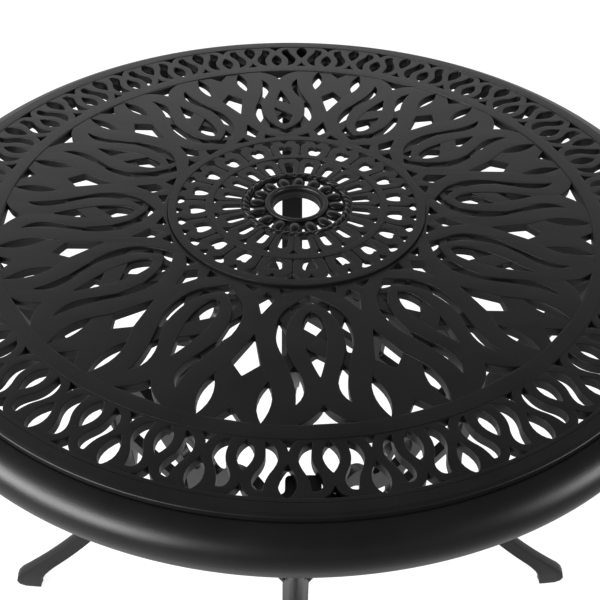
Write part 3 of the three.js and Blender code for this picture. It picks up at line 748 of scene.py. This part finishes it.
def lofted(name, rings):
    """A closed solid through rings of the same number of points."""
    mesh = bpy.data.meshes.new(name)
    points = [point for ring in rings for point in ring]
    edges = []
    for index, ring in enumerate(rings):
        first = index * len(ring)
        edges += [(first + step, first + (step + 1) % len(ring)) for step in range(len(ring))]
    mesh.from_pydata(points, edges, [])
    solid = placed(name, mesh)
    bpy.ops.object.mode_set(mode="EDIT")
    bpy.ops.mesh.select_mode(type="EDGE")
    bpy.ops.mesh.select_all(action="SELECT")
    bpy.ops.mesh.bridge_edge_loops()
    for index in (0, len(rings) - 1):
        bpy.ops.mesh.select_all(action="DESELECT")
        bpy.ops.mesh.select_mode(type="VERT")
        bpy.ops.object.mode_set(mode="OBJECT")
        for vertex in mesh.vertices:
            vertex.select = index * len(rings[0]) <= vertex.index < (index + 1) * len(rings[0])
        bpy.ops.object.mode_set(mode="EDIT")
        bpy.ops.mesh.edge_face_add()
    bpy.ops.mesh.select_all(action="SELECT")
    bpy.ops.mesh.normals_make_consistent(inside=False)
    bpy.ops.object.mode_set(mode="OBJECT")
    return solid


def cut_away(piece, cutter):
    select_only(piece)
    cut = piece.modifiers.new("cut", "BOOLEAN")
    cut.operation = "DIFFERENCE"
    cut.solver = "EXACT"
    cut.object = cutter
    bpy.ops.object.modifier_apply(modifier=cut.name)
    discard(cutter)


def copied(piece, name, turn):
    """A copy with its own mesh, turned about the middle of the table."""
    twin = piece.copy()
    twin.data = piece.data.copy()
    twin.name = name
    twin.data.name = name
    bpy.context.collection.objects.link(twin)
    turn_about_middle(twin, (0, 0, turn))
    return twin


def finish_four(piece, label, material, nodes, angle=40):
    """A finished copy of the right-hand piece at each side of the table."""
    for index, (name, node) in enumerate(zip(LEG_NAMES, nodes)):
        twin = copied(piece, f"{label}_{name}", index * math.pi / 2)
        finish_piece(twin, material, [node], angle)
    discard(piece)


# Weld beads
RIPPLE_LENGTH = 2.4 * MM
RIPPLE_SHARE = 0.16
RIPPLE_STEPS = 4
FEWEST_RIPPLES = 4


def weld_bead(name, start, end, thickness):
    """A rippled bead between two points."""
    ripples = max(FEWEST_RIPPLES, round((end - start).length / RIPPLE_LENGTH))
    line = bpy.data.curves.new(name, "CURVE")
    line.dimensions = "3D"
    line.bevel_depth = thickness
    line.bevel_resolution = 1
    line.use_fill_caps = True
    spline = line.splines.new("POLY")
    count = ripples * RIPPLE_STEPS + 1
    spline.points.add(count - 1)
    for step in range(count):
        share = step / (count - 1)
        spline.points[step].co = (*start.lerp(end, share), 1)
        spline.points[step].radius = 1 - RIPPLE_SHARE * math.cos(share * ripples * 2 * math.pi)
    return curve_to_mesh(name, line)


def leg_ring(inner, outer, half_width, square=0):
    """The points round a leg between its inner and outer side."""
    half = []
    for share, width in LEG_SECTION:
        fuller = width + (1 - width) * square if width else 0
        half.append((inner.lerp(outer, (share + 1) / 2), half_width * fuller))
    ring = [(place.x, -side, place.y) for place, side in half]
    return ring + [(place.x, side, place.y) for place, side in half[-2:0:-1]]


def make_legs():
    rings = []
    half = LEG_DEPTH / 2
    for index, (point, outward) in enumerate(leg_stations()):
        share = min(1, index / LEG_STEPS)
        half_width = (LEG_WIDTH + (LEG_WIDTH_BELOW - LEG_WIDTH) * share) / 2
        rings.append(leg_ring(point - outward * half, point + outward * half, half_width))
    toe = Vector((FOOT_TOE, 0, 0))
    for inner, outer, half_width, square in FOOT_PLACES:
        inside, outside = (toe + Vector((*side, 0)) * MM for side in (inner, outer))
        rings.append(leg_ring(inside, outside, half_width * MM, square))
    leg = lofted("cast_leg", rings)
    reach = Vector((0, LEG_WIDTH / 2 - LEG_WELD_INSET, 0))
    welds = []
    for end in (-half, half):
        seam = Vector((LEG_TOP + end, 0, LEG_TOP_HEIGHT))
        welds.append(weld_bead("weld", seam - reach, seam + reach, LEG_WELD))
    finish_four(joined("cast_leg", leg, *welds), "cast_leg", satin_black,
                [f"leg_{name}" for name in LEG_NAMES], angle=25)


# Nylon glides under the feet: a disc with a small middle hole and a rounded edge
GLIDE_HOLE = 0.5 * MM
GLIDE_LAP = 0.2 * MM
GLIDE_EDGE = [(-1.2, 0), (-0.3, 0.35), (0, 1.1)]
GLIDE_STEPS = 48


def make_glides():
    inside, outside = (point[0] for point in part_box("foot_glide_right"))
    middle = (inside + outside) / 2
    half = outside - middle
    seat = FOOT_BOTTOM + GLIDE_LAP
    disc = spun_ring("foot_glide", [(GLIDE_HOLE, 0)] + beside(half, 0, GLIDE_EDGE)
                     + [(half, seat), (GLIDE_HOLE, seat)], GLIDE_STEPS)
    select_only(disc)
    disc.location = (middle, 0, 0)
    bpy.ops.object.transform_apply(location=True)
    finish_four(disc, "nylon_glide", black_nylon, [f"foot_glide_{name}" for name in LEG_NAMES])


# Plates that carry the legs, and their bolts
PLATE_HALF = 30 * MM
PLATE_CORNER = 5 * MM
BOLT_RADIUS = BORDER_SEAM + 7 * MM
BOLT_SPACING = 44 * MM
PLATE_ROUND = 0.8 * MM
BOLT_LAP = 0.2 * MM
BOLT_CORE = 0.02 * MM
# Half width of a bolt's head, each with its share of the head's height
BUTTON_HEAD = [(5.5 * MM, 0.25), (5.1 * MM, 0.55), (4.2 * MM, 0.85), (3.2 * MM, 1)]
BUTTON_STEPS = 36
SOCKET_RADIUS = 2.3 * MM
SOCKET_HEIGHT = 4.4 * MM


def make_plates():
    tongue = LEG_WIDTH / 2
    inner = LEG_TOP - LEG_DEPTH / 2
    shoulder = LEG_TOP + LEG_DEPTH / 2
    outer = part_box("leg_plate_right")[1][0]
    side = [Vector((inner, tongue, 0)), Vector((shoulder, tongue, 0)), Vector((shoulder, PLATE_HALF, 0)),
            Vector((outer, PLATE_HALF, 0))]
    outline = [Vector((point.x, -point.y, 0)) for point in side] + side[::-1]
    plate = cast_plate("leg_plate", [softened(outline, PLATE_CORNER)], PLATE_UNDERSIDE, PLATE_TOP,
                       PLATE_ROUND)
    finish_four(plate, "top_plate", satin_black, [f"leg_plate_{name}" for name in LEG_NAMES])


def make_bolts():
    """Button heads with a six-sided socket."""
    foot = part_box("leg_bolt_right_a")[0][2]
    head = PLATE_UNDERSIDE - foot
    seat = PLATE_UNDERSIDE + BOLT_LAP
    bolt = spun_ring("button_head", [(BOLT_CORE, seat), (BUTTON_HEAD[0][0], seat)]
                     + [(half, PLATE_UNDERSIDE - head * share) for half, share in BUTTON_HEAD]
                     + [(BOLT_CORE, foot)], BUTTON_STEPS)
    bpy.ops.mesh.primitive_cylinder_add(vertices=6, radius=SOCKET_RADIUS, depth=SOCKET_HEIGHT,
                                        location=(0, 0, foot))
    socket = bpy.context.active_object
    bpy.ops.object.transform_apply(location=True)
    cut_away(bolt, socket)
    for index, name in enumerate(LEG_NAMES):
        for side_name, side in (("a", -1), ("b", 1)):
            screw = copied(bolt, f"leg_screw_{name}_{side_name}", 0)
            screw.location = (BOLT_RADIUS, side * BOLT_SPACING / 2, 0)
            bpy.ops.object.transform_apply(location=True)
            turn_about_middle(screw, (0, 0, index * math.pi / 2))
            finish_piece(screw, blackened_steel, [f"leg_bolt_{name}_{side_name}"], angle=30)
    discard(bolt)


# Stretchers, whose outlines are shares of half their length and of their height
STRETCHER_END_SHARE = 0.33
EYE_HEIGHT_SHARE = 0.633
STRETCHER_HALF = [corner(1, 0), corner(1, STRETCHER_END_SHARE), corner(0.85, STRETCHER_END_SHARE),
                  bend(0.83, 0.87), corner(0.63, 0.93), bend(0.42, 0.97), corner(0.3, 0.7), bend(0.22, 0.6),
                  corner(0.17, 0.76), bend(0.1, 0.85)]
STRETCHER_OUTLINE = STRETCHER_HALF + [corner(0, 0.85)] + mirrored(STRETCHER_HALF)[::-1] + [bend(0, 0.1)]
STRETCHER_OPENING = [corner(0.05, 0.16), bend(0.42, 0.12), corner(0.78, 0.17), bend(0.8, 0.55),
                     corner(0.63, 0.78), bend(0.5, 0.82), corner(0.4, 0.62), bend(0.3, 0.44),
                     corner(0.07, 0.36)]
STRETCHER_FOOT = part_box("stretcher_right_back")[0][2]
STRETCHER_HEIGHT = 150 * MM
STRETCHER_THICKNESS = 12 * MM
EYE_RADIUS = 19 * MM
STRETCHER_ROUND = 1.1 * MM
STRETCHER_WELD = 2 * MM
STRETCHER_WELD_START = 10 * MM
STRETCHER_WELD_STOP = 2 * MM
EYE_STEPS = 48
PANEL_BEND_STEPS = 12
OUTLINE_SOFTENING = 1.6 * MM
OPENING_SOFTENING = 3 * MM
# The block that is cut from a panel's end where the leg stands
LEG_ROOM = (120 * MM, LEG_WIDTH - 2 * SEAM_GAP, 300 * MM)


def make_stretchers():
    half = (LEG_WAIST + LEG_WIDTH / 2) * math.sqrt(0.5)

    def place(across, along):
        return Vector((across * half, STRETCHER_FOOT + along * STRETCHER_HEIGHT, 0))

    eye = [place(0, EYE_HEIGHT_SHARE) + point for point in circle_outline(EYE_RADIUS, EYE_STEPS)]
    outlines = []
    for shape, softening in ((STRETCHER_OUTLINE, OUTLINE_SOFTENING), (STRETCHER_OPENING, OPENING_SOFTENING),
                             (mirrored(STRETCHER_OPENING), OPENING_SOFTENING)):
        outlines.append(softened(outline_points(shape, place, PANEL_BEND_STEPS), softening))
    panel = cast_plate("waist_panel", outlines + [eye], -half - STRETCHER_THICKNESS / 2,
                       -half + STRETCHER_THICKNESS / 2, STRETCHER_ROUND)
    turn_about_middle(panel, (math.pi / 2, 0, 0))
    turn_about_middle(panel, (0, 0, -math.pi / 4))
    for turn in (0, math.pi / 2):
        bpy.ops.mesh.primitive_cube_add(size=1, location=(LEG_WAIST, 0, STRETCHER_FOOT), scale=LEG_ROOM)
        room = bpy.context.active_object
        bpy.ops.object.transform_apply(location=True, scale=True)
        turn_about_middle(room, (0, 0, turn))
        cut_away(panel, room)
    reach = STRETCHER_THICKNESS * math.sqrt(0.5)
    low = STRETCHER_FOOT + STRETCHER_WELD_START
    high = STRETCHER_FOOT + (STRETCHER_END_SHARE * STRETCHER_HEIGHT) - STRETCHER_WELD_STOP
    welds = []
    for face in (-reach, reach):
        across, side = LEG_WAIST + face, LEG_WIDTH / 2
        for x, y in ((across, side), (side, across)):
            welds.append(weld_bead("weld", Vector((x, y, low)), Vector((x, y, high)), STRETCHER_WELD))
    neighbours = zip(LEG_NAMES, LEG_NAMES[1:] + LEG_NAMES[:1])
    finish_four(joined("waist_panel", panel, *welds), "waist_panel", satin_black,
                [f"stretcher_{name}_{following}" for name, following in neighbours])


# Floor, light and camera
def make_floor():
    bpy.ops.mesh.primitive_plane_add(size=FLOOR_SIZE, location=(0, 0, 0))
    floor = bpy.context.active_object
    floor.name = "studio_floor"
    material = bpy.data.materials.new("studio_white")
    material.use_nodes = True
    nodes = material.node_tree.nodes
    links = material.node_tree.links
    shader = nodes["Principled BSDF"]
    shader.inputs["Base Color"].default_value = (FLOOR_TONE, FLOOR_TONE, FLOOR_TONE, 1)
    shader.inputs["Roughness"].default_value = FLOOR_ROUGHNESS
    shader.inputs["Specular IOR Level"].default_value = FLOOR_SHEEN
    shader.inputs["Emission Color"].default_value = (1, 1, 1, 1)
    place = nodes.new("ShaderNodeTexCoord")
    reach = nodes.new("ShaderNodeVectorMath")
    reach.operation = "LENGTH"
    links.new(place.outputs["Object"], reach.inputs[0])
    # Painted reflection: a glowing patch of floor under the table, seen only by glossy rays, that brightens
    # the reflections in the walls of the openings
    under_table_painted_glow = nodes.new("ShaderNodeMapRange")
    under_table_painted_glow.interpolation_type = "SMOOTHSTEP"
    under_table_painted_glow.inputs["From Min"].default_value = UNDER_TABLE[0]
    under_table_painted_glow.inputs["From Max"].default_value = UNDER_TABLE[1]
    under_table_painted_glow.inputs["To Min"].default_value = FLOOR_PAINTED_REFLECTION
    under_table_painted_glow.inputs["To Max"].default_value = 0
    links.new(reach.outputs["Value"], under_table_painted_glow.inputs["Value"])
    rays = nodes.new("ShaderNodeLightPath")
    painted_reflection_glow = nodes.new("ShaderNodeMath")
    painted_reflection_glow.operation = "MULTIPLY"
    links.new(rays.outputs["Is Glossy Ray"], painted_reflection_glow.inputs[0])
    links.new(under_table_painted_glow.outputs["Result"], painted_reflection_glow.inputs[1])
    glow = nodes.new("ShaderNodeMath")
    glow.operation = "MULTIPLY_ADD"
    glow.inputs[1].default_value = FLOOR_GLOW
    links.new(rays.outputs["Is Camera Ray"], glow.inputs[0])
    links.new(painted_reflection_glow.outputs["Value"], glow.inputs[2])
    links.new(glow.outputs["Value"], shader.inputs["Emission Strength"])
    floor.data.materials.append(material)


def make_world():
    """A pale studio, in reflections darker overhead and behind the camera than at its far walls."""
    world = bpy.data.worlds.new("studio")
    bpy.context.scene.world = world
    world.use_nodes = True
    nodes = world.node_tree.nodes
    links = world.node_tree.links
    soft = nodes["Background"]
    soft.inputs["Color"].default_value = (1, 1, 1, 1)
    soft.inputs["Strength"].default_value = SOFT_LIGHT
    white = nodes.new("ShaderNodeBackground")
    white.inputs["Strength"].default_value = 1.0
    mirrored_room = nodes.new("ShaderNodeBackground")
    direction = nodes.new("ShaderNodeTexCoord")
    heading = nodes.new("ShaderNodeSeparateXYZ")
    links.new(direction.outputs["Generated"], heading.inputs["Vector"])
    fading = nodes.new("ShaderNodeValToRGB")
    ramp = fading.color_ramp
    for index, (rise, light) in enumerate(CEILING_FADE):
        stop = ramp.elements[index] if index < len(ramp.elements) else ramp.elements.new(rise)
        stop.position = rise
        stop.color = (light, light, light, 1)
    height = nodes.new("ShaderNodeMath")
    height.operation = "MULTIPLY_ADD"
    height.inputs[1].default_value = RIGHT_SIDE_DIMMER
    links.new(heading.outputs["X"], height.inputs[0])
    links.new(heading.outputs["Z"], height.inputs[2])
    links.new(height.outputs["Value"], fading.inputs["Fac"])
    links.new(fading.outputs["Color"], mirrored_room.inputs["Color"])
    toward_camera = nodes.new("ShaderNodeMapRange")
    toward_camera.interpolation_type = "SMOOTHSTEP"
    toward_camera.inputs["From Min"].default_value = FRONT_ROOM_FADE[0]
    toward_camera.inputs["From Max"].default_value = FRONT_ROOM_FADE[1]
    toward_camera.inputs["To Min"].default_value = FRONT_ROOM_LIGHT
    toward_camera.inputs["To Max"].default_value = 1
    links.new(heading.outputs["Y"], toward_camera.inputs["Value"])
    links.new(toward_camera.outputs["Result"], mirrored_room.inputs["Strength"])
    rays = nodes.new("ShaderNodeLightPath")
    in_reflections = nodes.new("ShaderNodeMixShader")
    links.new(rays.outputs["Is Glossy Ray"], in_reflections.inputs["Fac"])
    links.new(soft.outputs["Background"], in_reflections.inputs[1])
    links.new(mirrored_room.outputs["Background"], in_reflections.inputs[2])
    in_view = nodes.new("ShaderNodeMixShader")
    links.new(rays.outputs["Is Camera Ray"], in_view.inputs["Fac"])
    links.new(in_reflections.outputs["Shader"], in_view.inputs[1])
    links.new(white.outputs["Background"], in_view.inputs[2])
    links.new(in_view.outputs["Shader"], nodes["World Output"].inputs["Surface"])


def make_camera():
    azimuth = math.radians(CAMERA_AZIMUTH)
    pitch = math.radians(CAMERA_PITCH)
    roll = math.radians(CAMERA_ROLL)
    stand = Vector((math.cos(azimuth), math.sin(azimuth), 0))
    level_ahead = -stand
    right = level_ahead.cross(Vector((0, 0, 1)))
    ahead = level_ahead * math.cos(pitch) - Vector((0, 0, 1)) * math.sin(pitch)
    upward = level_ahead * math.sin(pitch) + Vector((0, 0, 1)) * math.cos(pitch)
    rolled_right = right * math.cos(roll) + upward * math.sin(roll)
    rolled_up = upward * math.cos(roll) - right * math.sin(roll)
    turn = Matrix((rolled_right, rolled_up, -ahead)).transposed().to_4x4()
    lens = bpy.data.cameras.new("photo_camera")
    lens.lens = CAMERA_LENS
    lens.sensor_width = CAMERA_SENSOR
    lens.shift_x = CAMERA_SHIFT
    lens.clip_start = CAMERA_NEAREST
    camera = placed("photo_camera", lens)
    camera.matrix_world = Matrix.Translation(stand * CAMERA_DISTANCE + Vector((0, 0, CAMERA_HEIGHT))) @ turn
    bpy.context.scene.camera = camera


def add_lamp(name, place, size, power):
    bpy.ops.object.light_add(type="AREA", location=place)
    lamp = bpy.context.active_object
    lamp.name = name
    lamp.data.shape = "RECTANGLE"
    lamp.data.size = size[0]
    lamp.data.size_y = size[1]
    lamp.data.energy = power
    direction = Vector(LAMP_TARGET) - Vector(place)
    lamp.rotation_euler = direction.to_track_quat("-Z", "Y").to_euler()
    lamp.visible_camera = False


make_border()
make_field()
make_medallion()
make_petals()
make_rope()
make_collar()
make_rim()
make_plates()
make_bolts()
make_legs()
make_glides()
make_stretchers()
make_floor()
make_world()
make_camera()
for lamp_settings in LAMPS:
    add_lamp(*lamp_settings)
bpy.context.scene.view_settings.view_transform = "Standard"
